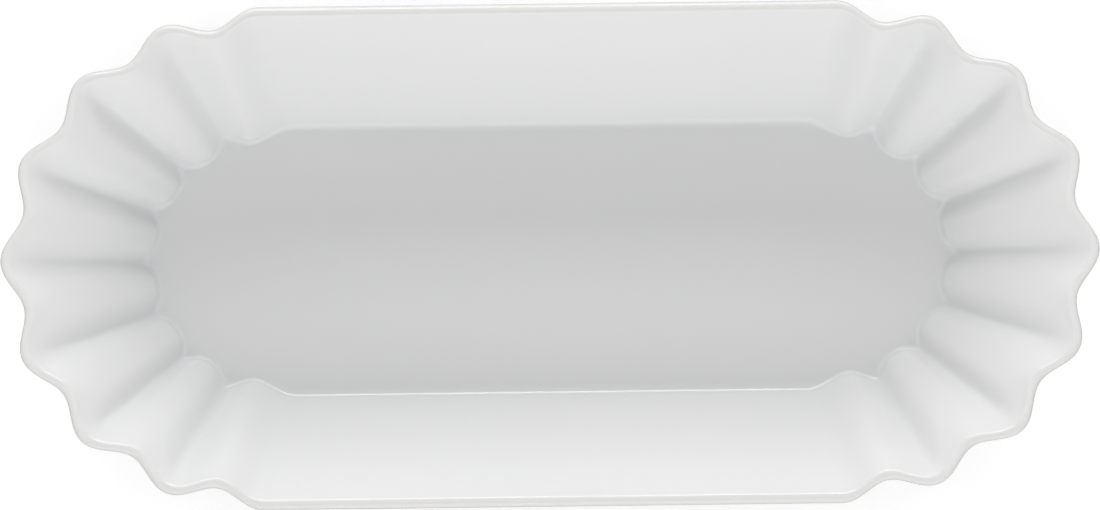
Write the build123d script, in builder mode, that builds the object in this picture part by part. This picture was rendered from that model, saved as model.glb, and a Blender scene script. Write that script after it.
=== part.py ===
"""Fluted serving tray in glazed porcelain, modelled after a folded paper snack tray.

One porcelain casting, held here as its zones: the flat well floor, two straight side
walls, two fluted end walls and the foot ring that it stands on.

Frame: origin on the standing surface at the centre of the footprint, +X along the length,
+Z up. All sizes are in millimetres.
"""

import math
import os

from build123d import *

# ---------------------------------------------------------------- driving dimensions
length = 225.0  # overall, over the flutes of both ends
width = 103.0  # overall, over the straight sides
height = 32.0  # from the standing surface to the top of the lip

well_length = 170.0  # flat floor inside, over the flutes
well_width = 56.0  # flat floor inside, between the straight sides

wall = 2.6  # wall thickness, square to the wall; the lip is rounded to it
floor_thickness = 3.5
end_bulge = 1.8  # how far the lip of an end reaches beyond a half circle, at its tip
rim_flute_depth = 3.7  # from the crest to the hollow of a flute, at the lip
well_flute_depth = 3.2  # the same, at the floor
flutes_per_end = 8  # flutes in the half turn of one end
crease = 0.4  # inside at the floor: near 0 a flute has a sharp crease, above 1 a round one

foot_height = 2.0
foot_width = 3.2  # of the ring that stands on the table
foot_setback = 1.2  # of the ring from the hollows between the flutes, at the floor's edge

lip_land = 0.3  # flat left along the top of the lip
outside_roundness = 1.0  # of the flutes outside: 1 is a plain cosine wave
points_per_flute = 8  # steps that a flute's spline takes from crest to crest

# ------------------------------------------------------------------ derived dimensions
quarter_turn = math.pi / 2
floor_top = foot_height + floor_thickness
well_radius = well_width / 2
well_half_straight = (well_length - well_width) / 2
rim_half_straight = (length - width) / 2 - end_bulge

lip_radius = wall / 2
lip_centre_height = height - lip_radius
lip_centre_radius = width / 2 - lip_radius

# The inner wall line starts at the floor's edge and touches the lip's circle, which fixes
# the slope of the straight sides.
lip_run = lip_centre_radius - well_radius
lip_rise = lip_centre_height - floor_top
slope = math.atan2(lip_rise, lip_run) + math.asin(lip_radius / math.hypot(lip_run, lip_rise))
level_thickness = wall / math.sin(slope)  # the wall as a level cut shows it

# The walls are lofted through level cuts: straight up from the heel to where the outer
# wall touches the lip's circle, then around that circle to its top.
inner_touch_turn = quarter_turn - slope  # above the lip's centre; the outer one is below it
lip_turns = [
    -inner_touch_turn,
    0,
    inner_touch_turn,
    (inner_touch_turn + quarter_turn) / 2,
    quarter_turn,
]
lip_levels = [lip_centre_height + lip_radius * math.sin(turn) for turn in lip_turns]
wall_levels = [foot_height, floor_top] + lip_levels
outer_touch_height = lip_levels[0]
inner_touch_height = lip_levels[2]


def with_height(z, at_floor, at_lip):
    """A size that changes evenly from the floor's top to the lip's centre.

    Below the floor's top it stays as it is there.
    """
    return at_floor + (at_lip - at_floor) * max(z - floor_top, 0) / lip_rise


def half_straight(z):
    """Half the length of the straight sides at height z, where an end's centre is too."""
    return with_height(z, well_half_straight, rim_half_straight)


def lip_half_width(z):
    """Half the width of the lip's circle at height z, no less than half of its land."""
    above_centre = z - lip_centre_height
    return max(math.sqrt(max(lip_radius**2 - above_centre**2, 0)), lip_land / 2)


def inside_radius(z):
    """From an end's centre to the inner wall at a flute's crest, and at the sides."""
    if z < inner_touch_height:
        return well_radius + max(z - floor_top, 0) / math.tan(slope)
    return lip_centre_radius - lip_half_width(z)


def outside_radius(z):
    """From an end's centre to the outer wall at a flute's crest, and at the sides."""
    if z < outer_touch_height:
        return well_radius + (z - floor_top) / math.tan(slope) + level_thickness
    return lip_centre_radius + lip_half_width(z)


def flute_wave(phase, roundness):
    """0 at a flute's crest and 1 between two flutes.

    At a roundness of 0 it is narrow at the crest and broad between, and at 1 it is a cosine.
    """
    half_sine = math.sin(phase / 2)
    creased = (math.hypot(crease, half_sine) - crease) / (math.hypot(crease, 1) - crease)
    return creased + (half_sine**2 - creased) * roundness


def inside_roundness(z):
    """The inside is creased at the floor and turns into a cosine at the lip."""
    return min(with_height(z, 0, 1), outside_roundness)


def crest_turn(flute):
    """Angle about the right end's centre at which a flute starts, from +X."""
    return math.pi * flute / flutes_per_end - quarter_turn


def end_radius(turn, z, radius):
    """The radius at an angle about an end's centre, with the bulge of the end's tip."""
    return radius + with_height(z, 0, end_bulge) * math.cos(turn) ** 2


def flute_points(flute, z, radius, roundness):
    """Points along one flute of the right end at height z, from crest to crest.

    Flutes are counted anticlockwise from the front side.
    """
    depth = with_height(z, well_flute_depth, rim_flute_depth)
    points = []
    for step in range(points_per_flute + 1):
        share = step / points_per_flute
        turn = crest_turn(flute + share)
        reach = end_radius(turn, z, radius) - depth * flute_wave(2 * math.pi * share, roundness)
        points.append((half_straight(z) + reach * math.cos(turn), reach * math.sin(turn)))
    return points


def flute_directions(flute, z, radius):
    """Directions of a flute's curve at its two crests, where only the bulge changes the radius."""
    directions = []
    for turn in (crest_turn(flute), crest_turn(flute + 1)):
        along = end_radius(turn, z, radius)
        outwards = -with_height(z, 0, end_bulge) * math.sin(2 * turn)
        directions.append(
            (
                outwards * math.cos(turn) - along * math.sin(turn),
                outwards * math.sin(turn) + along * math.cos(turn),
            )
        )
    return directions


# ---------------------------------------------------------------------- fluted ends
with BuildPart() as right_fluted_end:
    for flute in range(flutes_per_end):
        flute_cuts = []
        for z in wall_levels:
            outer_points = flute_points(flute, z, outside_radius(z), outside_roundness)
            inner_points = flute_points(flute, z, inside_radius(z), inside_roundness(z))
            with BuildSketch(Plane.XY.offset(z)) as flute_cut:
                with BuildLine():
                    Spline(*outer_points, tangents=flute_directions(flute, z, outside_radius(z)))
                    Spline(*inner_points, tangents=flute_directions(flute, z, inside_radius(z)))
                    Line(outer_points[0], inner_points[0])
                    Line(outer_points[-1], inner_points[-1])
                make_face()
            flute_cuts.append(flute_cut.sketch)
        loft(flute_cuts, ruled=True)
right_fluted_end.part.label = "right_fluted_end"

with BuildPart() as left_fluted_end:
    mirror(right_fluted_end.part, about=Plane.YZ)
left_fluted_end.part.label = "left_fluted_end"

# ------------------------------------------------------------------- straight sides
with BuildPart() as back_side_wall:
    side_cuts = []
    for z in wall_levels:
        with BuildSketch(Plane.XY.offset(z)) as side_cut:
            with Locations((0, (outside_radius(z) + inside_radius(z)) / 2)):
                Rectangle(2 * half_straight(z), outside_radius(z) - inside_radius(z))
        side_cuts.append(side_cut.sketch)
    loft(side_cuts, ruled=True)
back_side_wall.part.label = "back_side_wall"

with BuildPart() as front_side_wall:
    mirror(back_side_wall.part, about=Plane.XZ)
front_side_wall.part.label = "front_side_wall"

# ----------------------------------------------------------------------- well floor
with BuildPart() as well_floor:
    with BuildSketch(Plane.XY.offset(foot_height)):
        with BuildLine():
            for flute in range(flutes_per_end):
                edge_points = flute_points(
                    flute, floor_top, well_radius, inside_roundness(floor_top)
                )
                Spline(*edge_points, tangents=flute_directions(flute, floor_top, well_radius))
            Line((0, well_radius), (well_half_straight, well_radius))
            Line((0, -well_radius), (well_half_straight, -well_radius))
            mirror(about=Plane.YZ)
        make_face()
    extrude(amount=floor_thickness)
well_floor.part.label = "well_floor"

# ------------------------------------------------------------------------ foot ring
foot_outer_radius = well_radius - well_flute_depth - foot_setback

with BuildPart() as foot_ring:
    with BuildSketch():
        SlotCenterToCenter(2 * well_half_straight, 2 * foot_outer_radius)
        SlotCenterToCenter(
            2 * well_half_straight, 2 * (foot_outer_radius - foot_width), mode=Mode.SUBTRACT
        )
    extrude(amount=foot_height)
foot_ring.part.label = "foot_ring"

# --------------------------------------------------------------------------- export
os.makedirs("parts", exist_ok=True)
export_step(well_floor.part, "parts/well_floor.step")
export_step(front_side_wall.part, "parts/front_side_wall.step")
export_step(back_side_wall.part, "parts/back_side_wall.step")
export_step(left_fluted_end.part, "parts/left_fluted_end.step")
export_step(right_fluted_end.part, "parts/right_fluted_end.step")
export_step(foot_ring.part, "parts/foot_ring.step")
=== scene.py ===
"""Porcelain serving tray with fluted ends, in the shape of a folded paper snack tray.

The tray is one skin, worked out as a function of two numbers: s runs once round the rim and
v runs along the wall's section, from the well up the inside, over the lip and down the
outside to the foot. The skin is divided into the zones of the casting, and each zone is a
closed piece of its own. Lengths are in metres.
"""

import math

import bmesh
import bpy
import numpy as np
from mathutils import Matrix, Vector


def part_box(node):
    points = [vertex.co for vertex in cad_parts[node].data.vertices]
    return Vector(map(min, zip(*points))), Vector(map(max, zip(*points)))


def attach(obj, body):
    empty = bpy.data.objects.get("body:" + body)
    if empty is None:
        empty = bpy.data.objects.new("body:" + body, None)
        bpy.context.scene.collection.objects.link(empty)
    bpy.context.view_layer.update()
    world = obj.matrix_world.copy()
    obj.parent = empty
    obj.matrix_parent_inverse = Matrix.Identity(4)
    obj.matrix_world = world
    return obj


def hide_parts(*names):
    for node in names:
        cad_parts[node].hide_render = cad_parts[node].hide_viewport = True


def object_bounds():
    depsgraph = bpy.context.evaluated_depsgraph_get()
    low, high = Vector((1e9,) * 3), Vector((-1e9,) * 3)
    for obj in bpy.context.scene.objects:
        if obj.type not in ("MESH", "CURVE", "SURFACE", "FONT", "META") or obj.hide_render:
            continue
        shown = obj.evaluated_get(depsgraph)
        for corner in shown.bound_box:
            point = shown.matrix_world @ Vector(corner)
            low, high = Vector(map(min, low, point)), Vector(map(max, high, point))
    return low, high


MM = 0.001
QUARTER = math.pi / 2

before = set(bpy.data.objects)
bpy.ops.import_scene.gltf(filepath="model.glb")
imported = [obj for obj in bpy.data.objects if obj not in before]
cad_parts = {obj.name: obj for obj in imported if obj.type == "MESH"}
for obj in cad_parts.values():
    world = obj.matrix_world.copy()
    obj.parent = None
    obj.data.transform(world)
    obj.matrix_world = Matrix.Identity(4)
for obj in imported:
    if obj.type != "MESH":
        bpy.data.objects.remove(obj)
cad_low, cad_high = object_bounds()

# ------------------------------------------------------------------ sizes of the casting
wall = 2.6 * MM
flutes_per_end = 8
end_bulge = 1.8 * MM  # how far an end's lip reaches beyond a half circle, at its tip
rim_flute_depth = 3.7 * MM
well_flute_depth = 3.2 * MM
floor_flute_share = 0.55  # what the cove and the heel leave of the flutes' depth
groove_width = 0.45  # of the grooves at the floor: near 0 is a knife cut, 1 is a round wave
groove_pull = 1.7  # above 1 the grooves are steeper and the lobes between them flatter
groove_fade = 5  # the power of the height with which the grooves turn into a round wave
corner_start = math.sin(math.radians(52))  # past this angle's sine the flutes get round too
corner_ease = 4.0 * MM  # how far before its corner an end's first flute starts, at the floor

cove_radius = 3.4 * MM
heel_radius = 2.0 * MM
foot_width = 3.2 * MM
foot_land = 1.6 * MM  # flat that the foot stands on
foot_flare = 0.7 * MM
glaze_line = 0.9 * MM  # height on the foot where the glaze ends

columns_per_flute = 40
columns_per_side = 120
foot_columns_per_end = 160
floor_rings = 11
rows = {"cove": 10, "inside": 24, "lip": 18, "outside": 24, "heel": 8, "underside": 3}
foot_rows = {"flare": 8, "side": 1, "edge": 8, "land": 2, "inner edge": 8, "inner": 1, "neck": 8}
skin_end, foot_end = len(rows), len(foot_rows)  # v at the end of each section
lip_top, lip_end = 2.5, 3  # v at the top of the lip and at its outer end

# ------------------------------------------------------------------ sizes from the frame
well_low, well_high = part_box("well_floor")
_, foot_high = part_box("foot_ring")
underside = well_low.z
floor_top = well_high.z
rim_top = cad_high.z
well_radius = well_high.y
well_centre = well_high.x - well_high.y
rim_radius = cad_high.y
rim_centre = cad_high.x - cad_high.y - end_bulge
foot_radius = foot_high.y - foot_width / 2
foot_centre = foot_high.x - foot_high.y

# The inner wall line leaves the well's edge and touches the lip's circle.
lip_radius = wall / 2
lip_centre = np.array([rim_radius - lip_radius, rim_top - lip_radius])
well_edge = np.array([well_radius, floor_top])
lip_run, lip_rise = lip_centre - well_edge
slope = math.atan2(lip_rise, lip_run) + math.asin(lip_radius / math.hypot(lip_run, lip_rise))
uphill = np.array([math.cos(slope), math.sin(slope)])
outwards = np.array([math.sin(slope), -math.cos(slope)])
corner_setback = math.tan(slope / 2)

cove_centre = well_edge + np.array([-cove_radius * corner_setback, cove_radius])
outer_line = well_edge + wall * outwards
heel_corner = outer_line + uphill * (underside - outer_line[1]) / uphill[1]
heel_centre = heel_corner + np.array([-heel_radius * corner_setback, heel_radius])


# ------------------------------------------------------------------------- the skin
def arc(centre, radius, start, turn, share):
    """Points on a circle, from the angle start through the angle turn as share goes 0 to 1."""
    angle = start + turn * share
    return np.stack([centre[0] + radius * np.cos(angle), centre[1] + radius * np.sin(angle)], -1)


def line(start, end, share):
    """Points on a straight line, from start to end as share goes 0 to 1."""
    start, end = np.array(start), np.array(end)
    return start + (end - start) * share[..., None]


def stretch_shares(v, count):
    """How far v is along each of count stretches of a section, one unit of v each."""
    return np.clip([v - number for number in range(count)], 0, 1)


def pick_stretch(v, stretches):
    """The point of the stretch that v is in."""
    place = np.clip(np.floor(v), 0, len(stretches) - 1).astype(int)[..., None]
    return np.select([place == number for number in range(len(stretches))], stretches)


def wall_section(v):
    """Radius and height of the wall's section at v, at the crest of a flute.

    The whole numbers of v end its stretches: 0 to 1 is the cove at the well's edge, then come
    the inside, the lip's half circle, the outside, the heel's rounding and the underside.
    Each stretch is an arc or a line that leaves the one before it in its own direction.
    """
    share = stretch_shares(v, skin_end)
    cove_end = arc(cove_centre, cove_radius, -QUARTER, slope, np.ones(()))
    heel_start = heel_centre + heel_radius * outwards
    heel_end = heel_centre - np.array([0, heel_radius])
    return pick_stretch(
        v,
        [
            arc(cove_centre, cove_radius, -QUARTER, slope, share[0]),
            line(cove_end, lip_centre - lip_radius * outwards, share[1]),
            arc(lip_centre, lip_radius, slope + QUARTER, -math.pi, share[2]),
            line(lip_centre + lip_radius * outwards, heel_start, share[3]),
            arc(heel_centre, heel_radius, slope - QUARTER, -slope, share[4]),
            line(heel_end, (cove_centre[0], underside), share[5]),
        ],
    )


def foot_section(v):
    """Distance out from the foot ring's middle line and height, once round its section.

    0 to 1 is the outer flare, a quarter circle that leaves the underside level; then come the
    outer side, its rounding, the standing face, the inner rounding, side and flare.
    """
    half = foot_width / 2
    rounding = (foot_width - foot_land) / 2
    side_top = underside - foot_flare
    share = stretch_shares(v, foot_end)
    return pick_stretch(
        v,
        [
            arc((half + foot_flare, side_top), foot_flare, QUARTER, QUARTER, share[0]),
            line((half, side_top), (half, rounding), share[1]),
            arc((half - rounding, rounding), rounding, 0, -QUARTER, share[2]),
            line((half - rounding, 0), (rounding - half, 0), share[3]),
            arc((rounding - half, rounding), rounding, -QUARTER, -QUARTER, share[4]),
            line((-half, rounding), (-half, side_top), share[5]),
            arc((-half - foot_flare, side_top), foot_flare, 0, QUARTER, share[6]),
        ],
    )


def course(s):
    """Angle about an end's centre, side of the tray (1 right, -1 left) and the flutes' phase.

    s from 0 to 1 turns round the right end, 1 to 2 runs along the back, 2 to 3 turns round the
    left end and 3 to 4 runs along the front.
    """
    corners = [0, 1, 2, 3, 4]
    angle = np.interp(s, corners, [-QUARTER, QUARTER, QUARTER, 3 * QUARTER, 3 * QUARTER])
    along = np.interp(s, corners, [1, 1, -1, -1, 1])
    end_phase = 2 * math.pi * flutes_per_end
    phase = np.interp(s, corners, [0, end_phase, end_phase, 2 * end_phase, 2 * end_phase])
    return angle, along, phase


def flute_wave(phase, roundness, flatness):
    """0 in a flute's groove and 1 on the lobe between two.

    At a roundness of 1 it is a cosine. At 0 it is a hyperbola about the groove, pulled
    towards 1 by a power, so that the groove is steep and the lobe is flat. A flatness above 1
    makes the groove narrower and the lobe flatter still.
    """
    half_sine = np.sin(phase / 2)
    width = groove_width / flatness
    creased = (np.hypot(width, half_sine) - width) / (np.hypot(width, 1) - width)
    creased = 1 - (1 - creased) ** (groove_pull * flatness)
    return creased + (half_sine**2 - creased) * roundness


def wall_rise(v):
    """Height above the floor at v, as a share of the lip centre's; it ends at 0 underneath."""
    rise = (wall_section(v)[..., 1] - floor_top) / (lip_centre[1] - floor_top)
    return rise * np.clip(skin_end - v, 0, 1)


def flute_roundness(angle, v):
    """1 outside, at the lip and beside the straight sides, and 0 low on the inside."""
    beside = (np.abs(np.sin(angle)) - corner_start) / (1 - corner_start)
    inside = np.clip(wall_rise(v), 0, 1) ** groove_fade
    outside = np.clip(skin_end - v, 0, 1)
    return np.maximum(np.where(v < lip_top, inside, outside), np.clip(beside, 0, 1))


def end_centre(v):
    """How far out the ends' centres lie at v: it changes evenly with height."""
    return well_centre + (rim_centre - well_centre) * wall_rise(v)


def flute_phase(s, v):
    """The flutes' phase, with the flank at each corner drawn out along the straight side.

    The half flute at a corner starts corner_ease before it at the floor and right at it at
    the lip, and its phase then grows evenly with the distance along the skin.
    """
    angle, along, phase = course(s)
    radius = wall_section(v)[..., 0]
    half_flute = QUARTER / flutes_per_end
    past_corner = np.arcsin(np.abs(np.cos(angle))) - end_centre(v) * (1 - np.abs(along)) / radius
    ease = corner_ease * np.clip(1 - wall_rise(v), 0, 1) / radius
    share = np.clip((past_corner + ease) / (half_flute + ease), 0, 1)
    return np.where(past_corner < half_flute, math.pi * share, phase)


def flute_reach(s, v):
    """How far the flutes reach into the tray: 0 in a groove and 1 on a lobe.

    The flutes widen with the radius, and their grooves with only its square root.
    """
    flatness = np.sqrt(np.maximum(wall_section(v)[..., 0] / well_radius, 1))
    return flute_wave(flute_phase(s, v), flute_roundness(course(s)[0], v), flatness)


def skin(s, v):
    """Points of the skin. s and v are arrays that broadcast together.

    The radius is the section's, less the flute's depth times its wave, plus the end's bulge,
    which goes with the square of the cosine. Depth, bulge and the ends' centres change evenly
    with height, so the flutes lean away from the well. The depth fades through the cove, v 0
    to 1, and through the heel, v 4 to 5.
    """
    angle, along, _ = course(s)
    radius_and_height = wall_section(v)
    radius, height = radius_and_height[..., 0], radius_and_height[..., 1]
    rise = wall_rise(v)
    wall_share = np.interp(v, [0, 1, 4, 5], [0, 1, 1, 0])
    depth = well_flute_depth + (rim_flute_depth - well_flute_depth) * rise
    depth = depth * (floor_flute_share + (1 - floor_flute_share) * wall_share)
    bulge = end_bulge * rise * np.cos(angle) ** 2
    reach = radius + bulge - depth * flute_reach(s, v)
    x = along * end_centre(v) + reach * np.cos(angle)
    return np.stack([x, reach * np.sin(angle), height + 0 * s], -1)


def foot_skin(s, v):
    """Points of the foot ring: its section carried round the line midway across the ring."""
    angle, along, _ = course(s)
    out_and_height = foot_section(v)
    reach = foot_radius + out_and_height[..., 0]
    x = along * foot_centre + reach * np.cos(angle)
    return np.stack([x, reach * np.sin(angle), out_and_height[..., 1] + 0 * s], -1)


def glaze_and_painted_light(s, v):
    """0 over the lip, 1 in the cove and low in the grooves, and a half elsewhere.

    The colour drawn from it is a cooler glaze tint plus painted shade where it is high, and a
    warmer painted highlight over the lip. It rises in the cove and falls over the lip, by bells
    over v. It rises low in the grooves too, by the cube of what the flute's wave leaves, but not
    along the straight sides.
    """
    cove_middle, cove_spread, lip_spread = 0.5, 0.45, 0.4
    inside = np.clip(lip_end - v, 0, 1) * np.clip(1 - wall_rise(v), 0, 1)
    past_corner = np.clip(np.abs(np.cos(course(s)[0])) / math.sin(QUARTER / flutes_per_end), 0, 1)
    # painted shade: higher low in the grooves, where shade falls
    groove = inside * past_corner * np.clip(1 - flute_reach(s, v), 0, 1) ** 3
    # painted shade in the cove; the lip bell lowers the value for a painted highlight over the
    # lip
    cove = np.exp(-(((v - cove_middle) / cove_spread) ** 2))
    lip = np.exp(-(((v - lip_top) / lip_spread) ** 2))
    return np.clip(0.5 + 0.5 * np.maximum(groove, cove) - 0.5 * lip, 0, 1)


def surface_normals(surface, s, v, last_v):
    """Outward normals of a surface: the cross product of its steps along v and along s."""
    step = 1e-4
    around = surface(s + step, v) - surface(s - step, v)
    across = surface(s, np.minimum(v + step, last_v)) - surface(s, np.maximum(v - step, 0))
    normals = np.cross(across, around)
    return normals / np.linalg.norm(normals, axis=-1, keepdims=True)


# ------------------------------------------------------------------------- the meshes
def section_rows(steps):
    """Values of v for a section's rows, evenly spaced in each of its stretches."""
    parts = [number + np.arange(count) / count for number, count in enumerate(steps.values())]
    return np.append(np.concatenate(parts), len(steps))


def course_columns(per_end, per_side):
    """Values of s once round the tray."""
    end, side = np.arange(per_end) / per_end, np.arange(per_side) / per_side
    return np.concatenate([end, 1 + side, 2 + end, 3 + side])


def grid_quads(columns, count, closed_columns=False, closed_rows=False):
    """Corner numbers of the quads of a grid whose vertex i, j has the number i * count + j."""
    i_count = columns if closed_columns else columns - 1
    j_count = count if closed_rows else count - 1
    i, j = np.meshgrid(np.arange(i_count), np.arange(j_count), indexing="ij")
    next_i, next_j = (i + 1) % columns, (j + 1) % count
    quads = [i * count + j, i * count + next_j, next_i * count + next_j, next_i * count + j]
    return np.stack(quads, -1).reshape(-1, 4)


def make_piece(name, points, quads, normals=None, smooth=None, glaze=None):
    """A mesh object from points and quads, with given normals on its smooth faces."""
    mesh = bpy.data.meshes.new(name)
    mesh.from_pydata(points.reshape(-1, 3), [], quads)
    piece = bpy.data.objects.new(name, mesh)
    bpy.context.scene.collection.objects.link(piece)
    if smooth is not None:
        mesh.polygons.foreach_set("use_smooth", smooth)
    if normals is not None:
        corner_normals = normals.reshape(-1, 3)[quads.ravel()]
        corner_normals[~np.repeat(smooth, 4)] = 0
        mesh.normals_split_custom_set(corner_normals)
    # glaze is the per-point value for the glaze tint and the painted light and shade of the
    # porcelain colour
    if glaze is not None:
        layer = mesh.attributes.new("glaze_and_painted_light", "FLOAT", "POINT")
        layer.data.foreach_set("value", glaze.ravel().astype(np.float32))
    return piece


def weld(piece):
    """Joins the corners that share a place, as at a surface's poles."""
    made = bmesh.new()
    made.from_mesh(piece.data)
    bmesh.ops.remove_doubles(made, verts=made.verts, dist=1e-7)
    made.to_mesh(piece.data)
    made.free()


def place_in_frame(piece, node, material):
    """The piece stands for a zone of the casting, with that zone's finish."""
    piece.data.materials.append(material)
    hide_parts(node)
    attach(piece, "root")


def wall_zone(name, node, first_s, columns, material):
    """A stretch of wall as a closed piece: its skin, its joint with the floor and its ends."""
    s = (first_s + np.arange(columns + 1) / columns)[:, None]
    v = section_rows(rows)[None, :]
    count = v.size
    skin_quads = grid_quads(columns + 1, count)
    start = np.arange(columns) * count
    floor_joint = np.stack([start + count - 1, start, start + count, start + 2 * count - 1], -1)
    rung = np.arange(count // 2 - 1)
    end_face = np.stack([rung, count - 1 - rung, count - 2 - rung, rung + 1], -1)
    other_end_face = columns * count + end_face[:, ::-1]
    quads = np.concatenate([skin_quads, floor_joint, end_face, other_end_face])
    smooth = np.arange(len(quads)) < len(skin_quads)
    normals = surface_normals(skin, s, v, skin_end)
    piece = make_piece(name, skin(s, v), quads, normals, smooth, glaze_and_painted_light(s, v))
    place_in_frame(piece, node, material)


def well_zone(name, node, material):
    """The floor slab: its edge is the skin's first row, and rings shrink from it to the middle.

    A ring's points lie a share of the way from the edge to the segment between the two ends'
    centres, on the top and on the underside alike. The cooler glaze tint and the painted shade at
    the edge fade inwards by a power of what that share leaves.
    """
    # how fast the painted shade and glaze tint of the floor's edge fade towards the middle
    pool_and_shade_fade = 12
    s = course_columns(flutes_per_end * columns_per_flute, columns_per_side)
    edge = skin(s, np.zeros(1))
    spine = np.zeros_like(edge)
    spine[:, 0] = course(s)[1] * well_centre
    spine[:, 2] = edge[:, 2]
    share = np.linspace(0, 1, floor_rings)[:, None, None]
    top = edge + (spine - edge) * share
    bottom = top.copy()
    bottom[..., 2] = underside
    points = np.concatenate([top[::-1], bottom])
    quads = grid_quads(len(points), len(s), closed_rows=True)[:, ::-1]
    # the floor's edge takes the cove's painted shade, which then fades inwards
    edge_glaze_and_shade = glaze_and_painted_light(s, np.zeros(1))
    glaze = 0.5 + (edge_glaze_and_shade - 0.5) * (1 - share[..., 0]) ** pool_and_shade_fade
    piece = make_piece(name, points, quads, glaze=np.concatenate([glaze[::-1], glaze]))
    weld(piece)
    place_in_frame(piece, node, material)


def foot_zone(name, node, material):
    """The foot ring as a closed piece, with its joint with the underside."""
    s = course_columns(foot_columns_per_end, columns_per_side)[:, None]
    v = section_rows(foot_rows)[None, :]
    quads = grid_quads(s.size, v.size, closed_columns=True, closed_rows=True)
    smooth = np.tile(np.arange(v.size) < v.size - 1, s.size)
    normals = surface_normals(foot_skin, s, v, foot_end)
    piece = make_piece(name, foot_skin(s, v), quads, normals, smooth)
    place_in_frame(piece, node, material)


# ------------------------------------------------------------------------- materials
def node_maker(material):
    """A function that adds a node, with values for its sockets or its settings, and links."""
    material.use_nodes = True
    tree = material.node_tree

    def node(kind, links=None, **values):
        made = tree.nodes.new(kind)
        for key, value in values.items():
            if key in made.inputs:
                made.inputs[key].default_value = value
            else:
                setattr(made, key, value)
        for key, socket in (links or {}).items():
            tree.links.new(socket, made.inputs[key])
        return made

    return node


def ramp(node, factor, stops):
    """A colour ramp with (position, colour) stops."""
    made = node("ShaderNodeValToRGB", {"Fac": factor})
    elements = made.color_ramp.elements
    while len(elements) < len(stops):
        elements.new(0.5)
    for element, (position, colour) in zip(elements, stops):
        element.position = position
        element.color = (*colour, 1)
    return made.outputs["Color"]


def mix_colour(node, factor, first, second, blend="MIX"):
    """Two colour sockets mixed by a factor, which is a number or a socket."""
    made = node("ShaderNodeMix", data_type="RGBA", blend_type=blend)
    colours = {socket.identifier: socket for socket in made.inputs}
    tree = made.id_data
    if isinstance(factor, float):
        colours["Factor_Float"].default_value = factor
    else:
        tree.links.new(factor, colours["Factor_Float"])
    tree.links.new(first, colours["A_Color"])
    tree.links.new(second, colours["B_Color"])
    return {socket.identifier: socket for socket in made.outputs}["Result_Color"]


def glaze_bump(node, place):
    """The glaze's own face: a slow waviness under the fine dimpling of a fired glaze."""
    slow_scale, slow_depth = 45.0, 0.06 * MM
    fine_scale, fine_depth = 420.0, 0.004 * MM
    slow = node("ShaderNodeTexNoise", {"Vector": place}, Scale=slow_scale, Detail=2.0)
    fine = node("ShaderNodeTexNoise", {"Vector": place}, Scale=fine_scale, Detail=2.0)
    slow_bump = node(
        "ShaderNodeBump", {"Height": slow.outputs["Fac"]}, Strength=1.0, Distance=slow_depth
    )
    fine_bump = node(
        "ShaderNodeBump",
        {"Height": fine.outputs["Fac"], "Normal": slow_bump.outputs["Normal"]},
        Strength=1.0,
        Distance=fine_depth,
    )
    return fine_bump.outputs["Normal"]


def glazed_porcelain():
    """White body under a clear gloss glaze, cooler and darker in the cove and low in the grooves:
    the cooler tint is the glaze's own, the darkening is painted shade.

    Over the lip the white is a shade warmer and lighter, a painted highlight. A broad noise
    drifts the tint and the gloss a little, as the kiln leaves them.
    """
    drift_scale = 18.0
    sharpest, softest = 0.10, 0.17  # roughness of the gloss
    # the lip colour is lighter, a painted highlight; the cove and groove colour is darker,
    # painted shade, with a cooler glaze tint
    thin_and_lit, plain, pooled_and_shaded = (0.826, 0.820, 0.808), (0.808, 0.808, 0.808), (0.775, 0.784, 0.788)
    shaded, clear = (0.985, 0.987, 0.990), (1, 1, 1)
    material = bpy.data.materials.new("glazed_porcelain")
    node = node_maker(material)
    tree = material.node_tree
    shader = tree.nodes["Principled BSDF"]
    place = node("ShaderNodeTexCoord").outputs["Object"]
    # per-point share of painted light and shade and of the glaze tint
    pooling_and_light = node("ShaderNodeAttribute", attribute_name="glaze_and_painted_light").outputs["Fac"]
    drift = node("ShaderNodeTexNoise", {"Vector": place}, Scale=drift_scale, Detail=3.0)
    body = ramp(node, pooling_and_light, [(0.0, thin_and_lit), (0.5, plain), (1.0, pooled_and_shaded)])
    cloud = ramp(node, drift.outputs["Fac"], [(0.3, shaded), (0.7, clear)])
    colour = mix_colour(node, 1.0, body, cloud, "MULTIPLY")
    gloss = node("ShaderNodeMapRange", {"Value": drift.outputs["Fac"]})
    gloss.inputs["To Min"].default_value = sharpest
    gloss.inputs["To Max"].default_value = softest
    tree.links.new(colour, shader.inputs["Base Color"])
    tree.links.new(gloss.outputs["Result"], shader.inputs["Roughness"])
    tree.links.new(glaze_bump(node, place), shader.inputs["Normal"])
    shader.inputs["IOR"].default_value = 1.5
    return material


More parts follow.
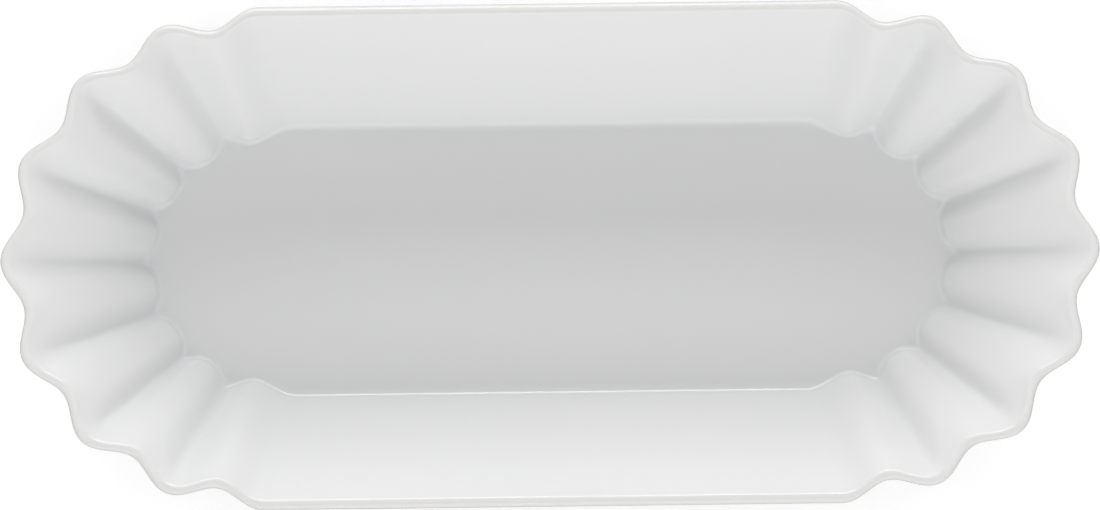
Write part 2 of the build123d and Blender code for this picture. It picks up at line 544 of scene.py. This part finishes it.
def bare_porcelain():
    """The foot: glazed down to an uneven line, and bare and ground flat where it stands."""
    grain_scale, grain_depth = 1400.0, 0.03 * MM
    wander_scale, wander_height = 160.0, 0.5 * MM  # of the glaze's lower edge
    edge_blur = 0.1 * MM
    bare_dark, bare_light = (0.70, 0.675, 0.63), (0.79, 0.77, 0.73)
    glaze_dark, glaze_light = (0.80, 0.80, 0.80), (0.815, 0.815, 0.815)
    bare_roughness, glaze_roughness = 0.62, 0.13
    bare_grain, glaze_grain = 1.0, 0.05
    material = bpy.data.materials.new("bare_porcelain")
    node = node_maker(material)
    tree = material.node_tree
    shader = tree.nodes["Principled BSDF"]
    place = node("ShaderNodeTexCoord").outputs["Object"]
    grain = node("ShaderNodeTexNoise", {"Vector": place}, Scale=grain_scale, Detail=3.0)
    wander = node("ShaderNodeTexNoise", {"Vector": place}, Scale=wander_scale, Detail=2.0)
    height = node("ShaderNodeSeparateXYZ", {"Vector": place}).outputs["Z"]
    edge = node("ShaderNodeMath", {0: wander.outputs["Fac"]}, operation="MULTIPLY")
    edge.inputs[1].default_value = wander_height
    level = node("ShaderNodeMath", {0: height, 1: edge.outputs["Value"]}, operation="ADD")
    glazed = node("ShaderNodeMapRange", {"Value": level.outputs["Value"]})
    glazed.inputs["From Min"].default_value = glaze_line + wander_height / 2 - edge_blur
    glazed.inputs["From Max"].default_value = glaze_line + wander_height / 2 + edge_blur
    bare = ramp(node, grain.outputs["Fac"], [(0.35, bare_dark), (0.65, bare_light)])
    glaze = ramp(node, wander.outputs["Fac"], [(0.0, glaze_dark), (1.0, glaze_light)])
    colour = mix_colour(node, glazed.outputs["Result"], bare, glaze)
    rough = node("ShaderNodeMapRange", {"Value": glazed.outputs["Result"]})
    rough.inputs["To Min"].default_value = bare_roughness
    rough.inputs["To Max"].default_value = glaze_roughness
    tooth = node("ShaderNodeMapRange", {"Value": glazed.outputs["Result"]})
    tooth.inputs["To Min"].default_value = bare_grain
    tooth.inputs["To Max"].default_value = glaze_grain
    bump = node(
        "ShaderNodeBump",
        {"Height": grain.outputs["Fac"], "Strength": tooth.outputs["Result"]},
        Distance=grain_depth,
    )
    tree.links.new(colour, shader.inputs["Base Color"])
    tree.links.new(rough.outputs["Result"], shader.inputs["Roughness"])
    tree.links.new(bump.outputs["Normal"], shader.inputs["Normal"])
    shader.inputs["IOR"].default_value = 1.5
    return material


# ---------------------------------------------------------------------------- studio
def pale_floor():
    """The surface that the tray stands on.

    Bounced light doesn't see it, and the room's lower half stands in for it. So it can be
    white, with a little light of its own, and the tray's outside still has some shade.
    """
    half = 6.0
    paleness, own_light = 0.95, 0.28
    corners = np.array([[-half, -half, 0], [half, -half, 0], [half, half, 0], [-half, half, 0]])
    floor = make_piece("studio_floor", corners, np.array([[0, 1, 2, 3]]))
    material = bpy.data.materials.new("studio_floor")
    material.use_nodes = True
    shader = material.node_tree.nodes["Principled BSDF"]
    shader.inputs["Base Color"].default_value = (paleness, paleness, paleness, 1)
    shader.inputs["Roughness"].default_value = 0.8
    shader.inputs["Specular IOR Level"].default_value = 0.2
    shader.inputs["Emission Color"].default_value = (1, 1, 1, 1)
    shader.inputs["Emission Strength"].default_value = own_light
    floor.data.materials.append(material)
    floor.visible_diffuse = False
    floor.visible_glossy = False


def white_room():
    """A room that is bright from the horizon up to low_band degrees.

    It is nearly dark above high_band, and dim from under_band down.
    """
    under_band, low_band, high_band = -5, 18, 34
    low_light, high_light, underfoot_light = 0.91, 0.07, 0.3
    world = bpy.data.worlds.new("white_room")
    world.use_nodes = True
    bpy.context.scene.world = world
    tree = world.node_tree
    direction = tree.nodes.new("ShaderNodeTexCoord").outputs["Generated"]
    split = tree.nodes.new("ShaderNodeSeparateXYZ")
    tree.links.new(direction, split.inputs["Vector"])
    fall = tree.nodes.new("ShaderNodeMapRange")
    fall.interpolation_type = "SMOOTHSTEP"
    fall.inputs["From Min"].default_value = math.sin(math.radians(low_band))
    fall.inputs["From Max"].default_value = math.sin(math.radians(high_band))
    fall.inputs["To Min"].default_value = low_light
    fall.inputs["To Max"].default_value = high_light
    tree.links.new(split.outputs["Z"], fall.inputs["Value"])
    rise = tree.nodes.new("ShaderNodeMapRange")
    rise.interpolation_type = "SMOOTHSTEP"
    rise.inputs["From Min"].default_value = math.sin(math.radians(under_band))
    rise.inputs["From Max"].default_value = 0
    rise.inputs["To Min"].default_value = underfoot_light
    tree.links.new(split.outputs["Z"], rise.inputs["Value"])
    tree.links.new(fall.outputs["Result"], rise.inputs["To Max"])
    background = tree.nodes["Background"]
    background.inputs["Color"].default_value = (1, 1, 1, 1)
    tree.links.new(rise.outputs["Result"], background.inputs["Strength"])


def softbox(name, azimuth, elevation, size, watts):
    """A rectangular light facing the tray, unseen by the camera; azimuth 90 is at the back."""
    distance = 1.3
    turn, lift = math.radians(azimuth), math.radians(elevation)
    level = math.cos(lift)
    place = distance * Vector((level * math.cos(turn), level * math.sin(turn), math.sin(lift)))
    light = bpy.data.lights.new(name, "AREA")
    light.shape = "RECTANGLE"
    light.size, light.size_y = size
    light.energy = watts
    box = bpy.data.objects.new(name, light)
    box.location = place
    box.rotation_euler = (-place).to_track_quat("-Z", "Y").to_euler()
    box.visible_camera = False
    bpy.context.scene.collection.objects.link(box)


def studio_light():
    """Soft boxes round the tray, low at the back, so that its walls are its brightest part."""
    softbox("back_key", 90, 28, (1.2, 0.2), 5.5)
    softbox("back_low", 90, 12, (1.2, 0.35), 3.6)
    softbox("front_fill", -90, 35, (2.0, 0.9), 8.5)
    softbox("right_fill", 0, 60, (1.0, 0.8), 3.7)
    softbox("left_fill", 180, 60, (1.0, 0.8), 3.7)


def tray_camera():
    """A long lens almost straight above the tray, leaning a little to the front."""
    distance = 1.2
    lean = math.radians(1.1)
    roll = math.radians(-0.72)
    seen_width = 0.2252
    lens = bpy.data.cameras.new("camera")
    lens.sensor_width = 36.0
    lens.lens = lens.sensor_width * distance / seen_width
    camera = bpy.data.objects.new("camera", lens)
    back = Vector((0, -math.sin(lean), math.cos(lean)))
    camera.location = Vector((0, 0, rim_top - lip_radius)) + back * distance
    turn = Matrix.Rotation(lean, 4, "X") @ Matrix.Rotation(roll, 4, "Z")
    camera.rotation_euler = turn.to_euler()
    bpy.context.scene.collection.objects.link(camera)
    bpy.context.scene.camera = camera


glaze_finish = glazed_porcelain()
bare_finish = bare_porcelain()
end_columns = flutes_per_end * columns_per_flute
wall_zone("right_fluted_end_porcelain", "right_fluted_end", 0, end_columns, glaze_finish)
wall_zone("back_side_wall_porcelain", "back_side_wall", 1, columns_per_side, glaze_finish)
wall_zone("left_fluted_end_porcelain", "left_fluted_end", 2, end_columns, glaze_finish)
wall_zone("front_side_wall_porcelain", "front_side_wall", 3, columns_per_side, glaze_finish)
well_zone("well_floor_porcelain", "well_floor", glaze_finish)
foot_zone("foot_ring_porcelain", "foot_ring", bare_finish)

pale_floor()
white_room()
studio_light()
tray_camera()
bpy.context.scene.view_settings.view_transform = "Standard"
